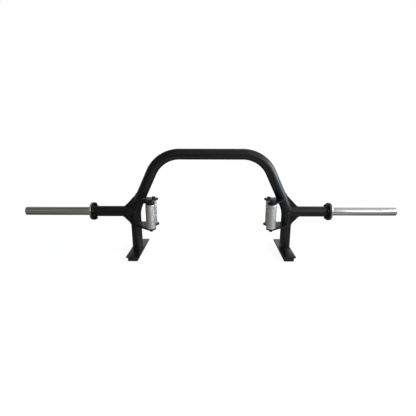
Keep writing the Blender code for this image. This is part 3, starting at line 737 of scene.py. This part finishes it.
def make_gussets(hand, side):
    """Upper and lower gusset plates; returns the paths of their welds."""
    upright = Matrix.Rotation(math.pi / 2, 4, "X")
    welds = []
    layouts = (("upper_gusset", UPPER_GUSSET, 1.0), ("lower_gusset", LOWER_GUSSET, -1.0))
    half = GUSSET_THICKNESS / 2
    for name, ends, above in layouts:
        outline = gusset_border(ends, above, 0.0, EMBED)
        weld = gusset_border(ends, above, half, 0.0)
        mesh = slab([(side * x, z) for x, z in outline], GUSSET_THICKNESS, upright)
        finish_piece(f"{name}_plate_{hand}", mesh, coat, f"{name}_{hand}")
        welds += [[(side * x, y, z) for x, z in weld] for y in (-half, half)]
    return welds


# Handle plates

def arc(centre, radius, start, end, steps):
    """Points along an arc."""
    return [(centre[0] + radius * math.cos(a), centre[1] + radius * math.sin(a))
            for a in spread(start, end, steps)]


def tangent_lean(leg_centre, grip, side):
    """Direction of the normal that a grip's lobe shares with the leg's collar."""
    x, y = grip[0] - leg_centre, grip[1]
    closing = (TUBE_RADIUS + COLLAR_MARGIN - LOBE_RADIUS) / math.hypot(x, y)
    return math.atan2(y, x) + side * math.acos(closing)


def wrapped(angle, least):
    """The same direction as an angle from least up to one turn more."""
    return least + (angle - least) % math.tau


def handle_plate_outline(leg_centre, lobe_steps=28, blend_steps=16):
    """Right handle plate: a lobe for each grip, a hollow between, edges tangent to the leg."""
    collar = TUBE_RADIUS + COLLAR_MARGIN
    rear = tangent_lean(leg_centre, THIN_GRIP, -1.0)
    front = tangent_lean(leg_centre, FAT_GRIP, 1.0)
    thin, fat = Vector(THIN_GRIP), Vector(FAT_GRIP)
    apart = fat - thin
    reach = math.sqrt((LOBE_RADIUS + LOBE_BLEND_RADIUS) ** 2 - (apart.length / 2) ** 2)
    hollow = (thin + fat) / 2 + Vector((apart.y, -apart.x)).normalized() * reach
    to_thin = math.atan2(thin.y - hollow.y, thin.x - hollow.x)
    to_fat = math.atan2(fat.y - hollow.y, fat.x - hollow.x)
    outer_x = leg_centre + PRONG_REACH
    ends = []
    for lean in (rear, front):
        touch = (leg_centre + collar * math.cos(lean), collar * math.sin(lean))
        ends.append((outer_x, touch[1] - (outer_x - touch[0]) * math.cos(lean) / math.sin(lean)))
    thin_end = wrapped(to_thin + math.pi, math.pi)
    thin_lobe = arc(THIN_GRIP, LOBE_RADIUS, wrapped(rear, 0.0), thin_end, lobe_steps)
    blend = arc(hollow, LOBE_BLEND_RADIUS, to_thin, to_fat, blend_steps)
    fat_start = wrapped(to_fat - math.pi, math.pi / 2)
    fat_lobe = arc(FAT_GRIP, LOBE_RADIUS, fat_start, wrapped(front, math.pi), lobe_steps)
    return [ends[0], *thin_lobe, *blend[1:-1], *fat_lobe, ends[1]]


def collar_path(side, z, steps=48):
    """Path of the weld round the inner part of the leg at a height."""
    middle = leg_centre_x(z)
    half_width = middle - leg_side_x(0.0, z, -1.0)
    limit = math.acos(PRONG_WELD / half_width)
    points = []
    for a in spread(limit, math.tau - limit, steps):
        y = TUBE_RADIUS * math.sin(a)
        x = leg_side_x(y, z, 1.0 if math.cos(a) > 0.0 else -1.0)
        points.append((side * x, y, z))
    return points


def make_handle_plates(hand, side):
    """Upper and lower plate, drilled and coped to the leg; returns weld paths."""
    welds = []
    for name, top in (("upper_handle_plate", UPPER_PLATE_TOP), ("lower_handle_plate", LOWER_PLATE_TOP)):
        middle = top - PLATE_THICKNESS / 2
        outline = [(side * x, y) for x, y in handle_plate_outline(leg_centre_x(middle))]
        mesh = slab(outline, PLATE_THICKNESS, Matrix.Translation((0.0, 0.0, middle)))
        stations = [s for s in arch_stations(0.0, steps_top=4) if s[0] * side > 0.0]
        rings = [station_ring(s, TUBE_RADIUS - EMBED) for s in stations]
        first, last = [[(x, 0.0, z)] for x, z, _ in (stations[0], stations[-1])]
        leg = skin([first, *rings, last], closed=False)
        holes = []
        for kit in GRIPS:
            x, y = kit["spot"]
            spot = Matrix.Translation((side * x, y, middle))
            holes.append(plug(kit["shank"] + GAP, PLATE_THICKNESS, -PLATE_THICKNESS, spot))
        mesh = carved(mesh, [leg, *holes])
        finish_piece(f"{name}_cut_{hand}", mesh, coat, f"{name}_{hand}")
        welds += [collar_path(side, z) for z in (top, top - PLATE_THICKNESS)]
    return welds


# Fasteners

def flange_bolt(shank, flats, head, flange, length, pitch):
    """Flange bolt on Z, its seat at zero: dished and chamfered hexagon, coned flange."""
    side = hexagon(flats)
    crown = flats * 0.46
    rim = BOLT_FLANGE * 0.4
    cone = (BOLT_FLANGE - rim) / (flange - flats / 2)
    dish = head * 0.04
    plain = -length * (1 - BOLT_THREADED)
    profile = [(0.0, head - dish), (flats * 0.30, head - dish), (flats * 0.36, head), (crown, head)]
    profile += [(side, head - (side - crown) * HEX_CHAMFER), (side, rim + (flange - side) * cone)]
    profile += [(flange - rim * 0.3, rim), (flange, rim * 0.7), (flange, rim * 0.2)]
    profile += [(flange - rim * 0.3, 0.0), (shank, 0.0), (shank, plain)]
    root = shank * 0.88
    for i in range(int(length * BOLT_THREADED / pitch)):
        z = plain - pitch * (i + 0.5)
        profile += [(root, z + pitch * 0.1), (root, z - pitch * 0.1), (shank, z - pitch * 0.45)]
    profile += [(shank * 0.86, -length), (0.0, -length)]
    return turned(profile, SCREW_COLUMNS)


def lock_nut(shank, flats, height):
    """Nylon insert lock nut on Z, under zero with its domed collar down."""
    side = hexagon(flats)
    face = flats * 0.47
    body = -height * 0.68
    collar = flats * 0.43
    bore = shank + GAP
    profile = [(bore, 0.0), (face, 0.0), (side, (face - side) * HEX_CHAMFER)]
    profile += [(side, body + (side - face) * HEX_CHAMFER), (face, body)]
    profile += [(collar, body - height * 0.03), (collar, -height * 0.9)]
    profile += [(collar * 0.93, -height), (collar * 0.82, -height), (bore, -height * 0.93)]
    return turned(profile, SCREW_COLUMNS)


def socket_screw(shank, reach, head, height, key):
    """Socket head screw on Z, its seat at zero: knurled head, hexagonal recess."""
    recess = hexagon(key)
    ease = height * 0.09
    grip = head - HEAD_KNURL * (np.arange(SCREW_COLUMNS) % 2)
    mouth = key * 0.62
    profile = [(0.0, height * 0.42), (recess * 0.98, height * 0.5), (recess, height - ease * 0.6)]
    profile += [(np.maximum(recess, mouth), height), (head - ease, height), (grip, height - ease)]
    profile += [(grip, ease), (head - ease * 0.5, 0.0), (shank, 0.0), (shank, -reach), (0.0, -reach)]
    return turned(profile, SCREW_COLUMNS)


def make_grip_fasteners(hand, side):
    """Bolt and nut of each grip."""
    seat = UPPER_PLATE_TOP + GAP
    nut_seat = LOWER_PLATE_TOP - PLATE_THICKNESS - GAP
    for turn, kit in enumerate(GRIPS):
        x, y = kit["spot"]
        length = seat - (nut_seat - kit["nut"] - BOLT_END)
        bolt = flange_bolt(kit["shank"], kit["flats"], kit["head"], kit["flange"], length, kit["pitch"])
        nut = lock_nut(kit["shank"], kit["flats"], kit["nut"])
        name = kit["name"]
        for kind, prefix, mesh, height, lean in (
            ("bolt", "flange", bolt, seat, BOLT_TURN), ("nut", "lock", nut, nut_seat, NUT_TURN),
        ):
            spin = Matrix.Rotation(lean + turn * NEXT_TURN + side * SIDE_TURN, 4, "Z")
            mesh.transform(Matrix.Translation((side * x, y, height)) @ spin)
            finish_piece(f"{name}_{prefix}_{kind}_{hand}", mesh, oxide, f"{name}_{kind}_{hand}")


def make_flanges(hand, side):
    """Coated arm flange, chromed sleeve flange and their ring of screws."""
    bore = FLANGE_BORE
    layouts = (
        ("arm_flange", ARM_FLANGE_X, FLANGE_JOINT_X - GAP, coat, ARM_FLANGE_EDGE),
        ("sleeve_flange", FLANGE_JOINT_X, SLEEVE_SHOULDER_X, turned_plate, SLEEVE_FLANGE_EDGE),
    )
    for name, inner_x, outer_x, material, ease in layouts:
        thick = outer_x - inner_x
        corners = [(bore, thick), (FLANGE_RADIUS, thick), (FLANGE_RADIUS, 0.0), (bore, 0.0)]
        mesh = turned(eased(corners, ease, FLANGE_EDGE_STEPS), COLUMNS, on_axis(side, inner_x))
        finish_piece(f"{name}_turned_{hand}", mesh, material, f"{name}_{hand}")
    ring = grown(socket_screw(**FLANGE_SCREW), screw_ring, {
        "Count": SCREW_COUNT, "Circle": SCREW_CIRCLE, "Seed": SCREW_SEED[hand],
        "Material": oxide,
    })
    turn = Matrix.Rotation(-side * SCREW_TURN[hand], 4, "Z")
    ring.transform(on_axis(side, ARM_FLANGE_X - GAP, outwards=-1.0) @ turn)
    nodes = [f"flange_screw_{hand}_{i}" for i in range(1, SCREW_COUNT + 1)]
    finish_piece(f"flange_screws_{hand}", ring, oxide, *nodes)


def make_sleeve(hand, side):
    """Chromed sleeve tube and the plug in its end."""
    length = SLEEVE_END_X - END_CAP_LIP - SLEEVE_SHOULDER_X - GAP
    bore = SLEEVE_RADIUS - SLEEVE_WALL
    corners = [(bore, length), (SLEEVE_RADIUS, length), (SLEEVE_RADIUS, 0.0), (bore, 0.0)]
    mesh = turned(eased(corners, SLEEVE_EDGE), COLUMNS, on_axis(side, SLEEVE_SHOULDER_X))
    finish_piece(f"sleeve_chromed_{hand}", mesh, plate, f"sleeve_tube_{hand}")
    lip = END_CAP_LIP
    inner = bore - GAP
    corners = [(0.0, lip * 0.6), (lip * 0.6, lip), (SLEEVE_RADIUS - lip / 2, lip)]
    corners += [(SLEEVE_RADIUS, lip / 2), (SLEEVE_RADIUS, 0.0)]
    corners += [(inner, 0.0), (inner, -END_CAP_DEPTH), (0.0, -END_CAP_DEPTH)]
    mesh = turned(eased(corners, PLUG_EDGE, closed=False), COLUMNS, on_axis(side, SLEEVE_END_X - lip))
    finish_piece(f"sleeve_plug_{hand}", mesh, plate, f"sleeve_end_cap_{hand}")


# Grips

def knurl_blank(radius, bore, length, rounds):
    """Turned grip on Z from zero, its band triangles that the knurl can press."""
    columns = rounds * 2
    ease = GRIP_EDGE
    rows = int((length - 2 * KNURL_MARGIN) / (KNURL_PITCH / 2)) // 2 * 2
    pitch = (length - 2 * KNURL_MARGIN) / rows * 2
    ends = [(bore + BORE_EDGE, 0.0), (radius - ease, 0.0), (radius - ease * 0.3, ease * 0.3)]
    ends += [(radius, ease), (radius, KNURL_MARGIN - KNURL_LEAD)]
    band = [(radius, KNURL_MARGIN + pitch / 2 * i) for i in range(rows + 1)]
    top = [(r, length - z) for r, z in reversed(ends)]
    profile = ends + band + top + [(bore, length - BORE_EDGE), (bore, BORE_EDGE)]
    points = [(r * math.cos(a), r * math.sin(a), z) for r, z in profile for a in directions(columns)]
    faces = []
    first = len(ends)
    for row in range(len(profile)):
        far = (row + 1) % len(profile)
        for i in range(columns):
            j = (i + 1) % columns
            a, b, c, d = row * columns + i, row * columns + j, far * columns + j, far * columns + i
            if not first <= row < first + rows:
                faces.append((a, b, c, d))
            elif (row - first + i) % 2 == 0:
                faces += [(a, b, d), (b, c, d)]
            else:
                faces += [(a, b, c), (a, c, d)]
    mesh = bpy.data.meshes.new("blank")
    mesh.from_pydata(points, [], faces)
    return outward(mesh), pitch


def make_grips(hand, side):
    """The two spinning grips of one side."""
    for kit in GRIPS:
        name, (x, y), radius, length = kit["name"], kit["spot"], kit["radius"], kit["length"]
        rounds = round(math.tau * radius / KNURL_PITCH)
        blank, pitch = knurl_blank(radius, kit["bore"], length, rounds)
        mesh = grown(blank, knurl, {
            "Radius": radius, "Depth": KNURL_DEPTH, "Round": float(rounds), "Pitch": pitch,
            "Bottom": KNURL_MARGIN, "Top": length - KNURL_MARGIN, "Material": bright,
        })
        mesh.transform(Matrix.Translation((side * x, y, LOWER_PLATE_TOP + GRIP_CLEARANCE)))
        finish_piece(f"{name}_knurled_{hand}", mesh, bright, f"{name}_{hand}",
                     body=f"{hand}_{name}", sharp=KNURL_SHARP)


# Feet

def foot_outline(middle_x, width, steps=6):
    """Outline of a foot's plate or pad: a rectangle with round corners."""
    x, y = width / 2 - FOOT_CORNER, FOOT_LENGTH / 2 - FOOT_CORNER
    outline = []
    for quarter, (sx, sy) in enumerate(((1, 1), (-1, 1), (-1, -1), (1, -1))):
        start = quarter * math.pi / 2
        corner = (middle_x + sx * x, sy * y)
        outline += arc(corner, FOOT_CORNER, start, start + math.pi / 2, steps)
    return outline


def make_foot(hand, side):
    """Steel foot plate and the rubber pad under it."""
    x = side * FOOT_X
    seat = Matrix.Translation((0.0, 0.0, PAD_HEIGHT + FOOT_THICKNESS / 2))
    mesh = slab(foot_outline(x, FOOT_WIDTH), FOOT_THICKNESS, seat)
    finish_piece(f"foot_plate_coated_{hand}", mesh, coat, f"foot_plate_{hand}")
    height = PAD_HEIGHT - GAP
    seat = Matrix.Translation((0.0, 0.0, height / 2))
    mesh = slab(foot_outline(x, PAD_WIDTH), height, seat, PAD_EDGE)
    spots = [Matrix.Translation((x, y, 0.0)) for y in (-PAD_SCREW_Y, PAD_SCREW_Y)]
    recesses = [plug(PAD_RECESS_RADIUS, PAD_RECESS_DEPTH, -CUT_OVERRUN, spot) for spot in spots]
    mesh = carved(mesh, recesses)
    finish_piece(f"foot_pad_moulded_{hand}", mesh, pad_rubber, f"foot_pad_{hand}")


# Welds

def ring_path(side, x=None, z=None, steps=64):
    """Closed path round an arm at x, round a leg at z, or where arm and leg meet."""
    points = []
    for a in directions(steps):
        across, up = TUBE_RADIUS * math.cos(a), TUBE_RADIUS * math.sin(a)
        if z is not None:
            points.append((side * LEG_X + up, across, z))
        elif x is not None:
            points.append((side * x, across, AXIS_HEIGHT + up))
        else:
            points.append((side * leg_side_x(across, AXIS_HEIGHT + up), across, AXIS_HEIGHT + up))
    return points


def path_mesh(rings, lines):
    """Edges along closed and open paths."""
    points, edges = [], []
    for number, path in enumerate(rings + lines):
        first = len(points)
        points += path
        edges += [(first + i, first + i + 1) for i in range(len(path) - 1)]
        if number < len(rings):
            edges.append((len(points) - 1, first))
    mesh = bpy.data.meshes.new("paths")
    mesh.from_pydata(points, edges, [])
    return mesh


def make_welds(hand, side, gusset_paths, plate_paths):
    """Beads of weld of one side."""
    tube_rings = [ring_path(side, x=ARM_FLANGE_X), ring_path(side, z=PAD_HEIGHT + FOOT_THICKNESS)]
    tube_rings.append(ring_path(side))
    groups = (
        ("tube_welds", tube_rings, plate_paths, BEAD_RADIUS),
        ("gusset_welds", [], gusset_paths, GUSSET_BEAD),
    )
    for name, rings, lines, radius in groups:
        mesh = grown(path_mesh(rings, lines), weld_bead, {
            "Radius": radius, "Pitch": BEAD_PITCH, "Seed": BEAD_SEED, "Material": coat,
        })
        finish_piece(f"{name}_{hand}", mesh, coat)


# Floor, light and camera

def ray_kinds(tree):
    """Whether a ray comes from the camera, and whether off or through something."""
    rays = tree.nodes.new("ShaderNodeLightPath").outputs
    mirrored = calc(tree, "MAXIMUM", rays["Is Glossy Ray"], rays["Is Transmission Ray"])
    return rays["Is Camera Ray"], mirrored


def make_floor():
    """Pale floor with a soft shadow close by, fading to white further out, which in reflections glows
    with painted light and shade.
    """
    far = FLOOR_REACH
    mesh = bpy.data.meshes.new("floor")
    corners = [(-far, -far, 0.0), (far, -far, 0.0), (far, far, 0.0), (-far, far, 0.0)]
    mesh.from_pydata(corners, [], [(0, 1, 2, 3)])
    material = bpy.data.materials.new("studio_floor")
    material.use_nodes = True
    tree = material.node_tree
    tree.nodes.clear()
    place = tree.nodes.new("ShaderNodeTexCoord").outputs["Object"]
    split = add(tree, "ShaderNodeSeparateXYZ", {"Vector": place}).outputs
    reach = vector(tree, "LENGTH", {0: place}, "Value")
    grain = noise(tree, place, scale=40.0, detail=3.0)
    paint = mixed(tree, grain, *FLOOR_TONES)
    matt = add(tree, "ShaderNodeBsdfDiffuse", {"Color": paint}).outputs[0]

    near = ranged(tree, reach, FLOOR_NEAR, FLOOR_FAR, FLOOR_SHADOW, 0.0, smooth=True)
    shaded = mixed(tree, near, (0.0, 0.0, 0.0), paint)
    glow = calc(tree, "SUBTRACT", 1.0, product(tree, near, FLOOR_LEVEL))
    kept = add(tree, "ShaderNodeBsdfDiffuse", {"Color": shaded}).outputs[0]
    lift = add(tree, "ShaderNodeEmission", {"Color": WHITE, "Strength": glow}).outputs[0]
    seen = add(tree, "ShaderNodeAddShader", {0: kept, 1: lift}).outputs[0]

    # Painted light and shade on the floor as reflections see it: a glow, dim on the left and bright on
    # the right, darker under and behind the object
    tone = product(tree, *(
        ranged(tree, split[axis], low, high, before, after, smooth=True)
        for axis, low, high, before, after in PAINTED_FLOOR_LIGHT_LEVELS
    ))
    # Painted shadow bands on the floor in the gloss, in front of the legs
    front = ranged(tree, split["Y"], *PAINTED_SHADOW_FRONT, 1.0, 0.0, smooth=True)
    for middle, depth in PAINTED_FLOOR_SHADOWS:
        away = calc(tree, "ABSOLUTE", calc(tree, "SUBTRACT", split["X"], middle))
        painted_dip = product(tree, ranged(tree, away, 0.0, PAINTED_SHADOW_REACH, depth, 0.0, smooth=True), front)
        tone = product(tree, tone, calc(tree, "SUBTRACT", 1.0, painted_dip))
    # Painted pools of light on the floor in the gloss, under the grips
    for x, y, spread, gain in PAINTED_LIGHT_POOLS:
        apart = vector(tree, "DISTANCE", {0: place, 1: (x, y, 0.0)}, "Value")
        tone = calc(tree, "ADD", tone, ranged(tree, apart, 0.0, spread, gain, 0.0, smooth=True))
    painted_tint = mixed(tree, ranged(tree, split["X"], *PAINTED_TINT_SPREAD), *PAINTED_LIGHT_TINTS)
    painted_reflection = add(tree, "ShaderNodeEmission", {"Color": painted_tint, "Strength": tone}).outputs[0]

    direct, mirrored = ray_kinds(tree)
    lit = add(tree, "ShaderNodeMixShader", {0: direct, 1: matt, 2: seen}).outputs[0]
    final = add(tree, "ShaderNodeMixShader", {0: mirrored, 1: lit, 2: painted_reflection}).outputs[0]
    add(tree, "ShaderNodeOutputMaterial", {"Surface": final})
    mesh.materials.append(material)
    linked("floor", mesh)


def colour_ramp(tree, value, stops):
    """Colour that follows a value through (place, colour) stops."""
    node = tree.nodes.new("ShaderNodeValToRGB")
    ramp = node.color_ramp
    ramp.interpolation = "EASE"
    while len(ramp.elements) < len(stops):
        ramp.elements.new(0.5)
    for element, (spot, colour) in zip(ramp.elements, stops):
        element.position = spot
        element.color = (*colour, 1.0)
    tree.links.new(value, node.inputs[0])
    return node.outputs["Color"]


def make_world():
    """White behind the object, and in its gloss a soft room, dimmer on the left."""
    world = bpy.data.worlds.new("studio")
    bpy.context.scene.world = world
    world.use_nodes = True
    tree = world.node_tree
    tree.nodes.clear()
    way = add(tree, "ShaderNodeSeparateXYZ",
              {"Vector": tree.nodes.new("ShaderNodeTexCoord").outputs["Generated"]}).outputs
    front = product(tree, way["Y"], -1.0)
    over = calc(tree, "DIVIDE", calc(tree, "ARCTAN2", way["Z"], front), math.pi)
    across = ranged(tree, way["X"], *ROOM_SPREAD, smooth=True)
    walls = [colour_ramp(tree, over, stops) for stops in (ROOM_LEFT, ROOM_RIGHT)]
    direct, mirrored = ray_kinds(tree)
    tone = mixed(tree, mirrored, AMBIENT, mixed(tree, across, *walls))
    tone = mixed(tree, direct, tone, WHITE)
    light = add(tree, "ShaderNodeBackground", {"Color": tone, "Strength": 1.0})
    add(tree, "ShaderNodeOutputWorld", {"Surface": light.outputs[0]})


def softbox(name, place, aim, width, height, radiance, colour):
    """Area light at a place, turned towards a point, unseen by the camera itself."""
    light = bpy.data.lights.new(name, "AREA")
    light.shape = "RECTANGLE"
    light.size = width
    light.size_y = height
    light.energy = radiance * math.pi * width * height
    light.color = colour
    lamp = linked(name, light)
    lamp.location = place
    lamp.rotation_mode = "QUATERNION"
    lamp.rotation_quaternion = (Vector(place) - Vector(aim)).to_track_quat("Z", "Y")
    lamp.visible_camera = False


def make_camera():
    """Camera at the photograph's place, tilted down and slightly rolled."""
    data = bpy.data.cameras.new("camera")
    data.sensor_width = SENSOR_WIDTH
    data.lens = FOCAL_PIXELS / PICTURE_WIDTH * SENSOR_WIDTH
    data.shift_x = -(PRINCIPAL_X - PICTURE_WIDTH / 2) / PICTURE_WIDTH
    camera = linked("camera", data)
    pitch, roll = math.radians(CAMERA_PITCH), math.radians(CAMERA_ROLL)
    forward = Vector((0.0, math.cos(pitch), -math.sin(pitch)))
    level = Vector((1.0, 0.0, 0.0))
    up = Vector((0.0, math.sin(pitch), math.cos(pitch)))
    right = level * math.cos(roll) + up * math.sin(roll)
    up = up * math.cos(roll) - level * math.sin(roll)
    turn = Matrix((right, up, -forward)).transposed().to_4x4()
    camera.matrix_world = Matrix.Translation(CAMERA_PLACE) @ turn
    bpy.context.scene.camera = camera


coat = powder_coat()
oxide = black_oxide()
plate = chrome("chrome", *CHROME_ROUGHNESS)
turned_plate = chrome("turned_chrome", *TURNED_ROUGHNESS)
bright = knurled_steel()
pad_rubber = rubber()
weld_bead = weld_bead_tree()
screw_ring = screw_ring_tree()
knurl = knurl_tree()

make_arch()
for label, sign in SIDES:
    make_arm(label, sign)
    gusset_welds = make_gussets(label, sign)
    handle_welds = make_handle_plates(label, sign)
    for make in (make_flanges, make_sleeve, make_grips, make_grip_fasteners, make_foot):
        make(label, sign)
    make_welds(label, sign, gusset_welds, handle_welds)

# CAD nodes that stay, hidden inside or under the pads, and only get their finish
STAYING = (("grip_spacer", coat), ("grip_bush", nylon()), ("foot_screw", oxide))
for node_name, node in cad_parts.items():
    for part_name, finish in STAYING:
        if part_name in node_name:
            node.data.materials.clear()
            node.data.materials.append(finish)

make_floor()
make_world()
softbox("key", place=(2.5, -3.0, 1.75), aim=(0.6, 0.0, 0.3), width=1.7, height=2.7,
        radiance=1.25, colour=WHITE)
softbox("right_window", place=(3.3, -0.5, 1.55), aim=(0.3, 0.0, 0.4), width=2.5, height=1.5,
        radiance=10.2, colour=(0.74, 0.85, 1.0))
make_camera()
bpy.context.scene.view_settings.view_transform = "Standard"
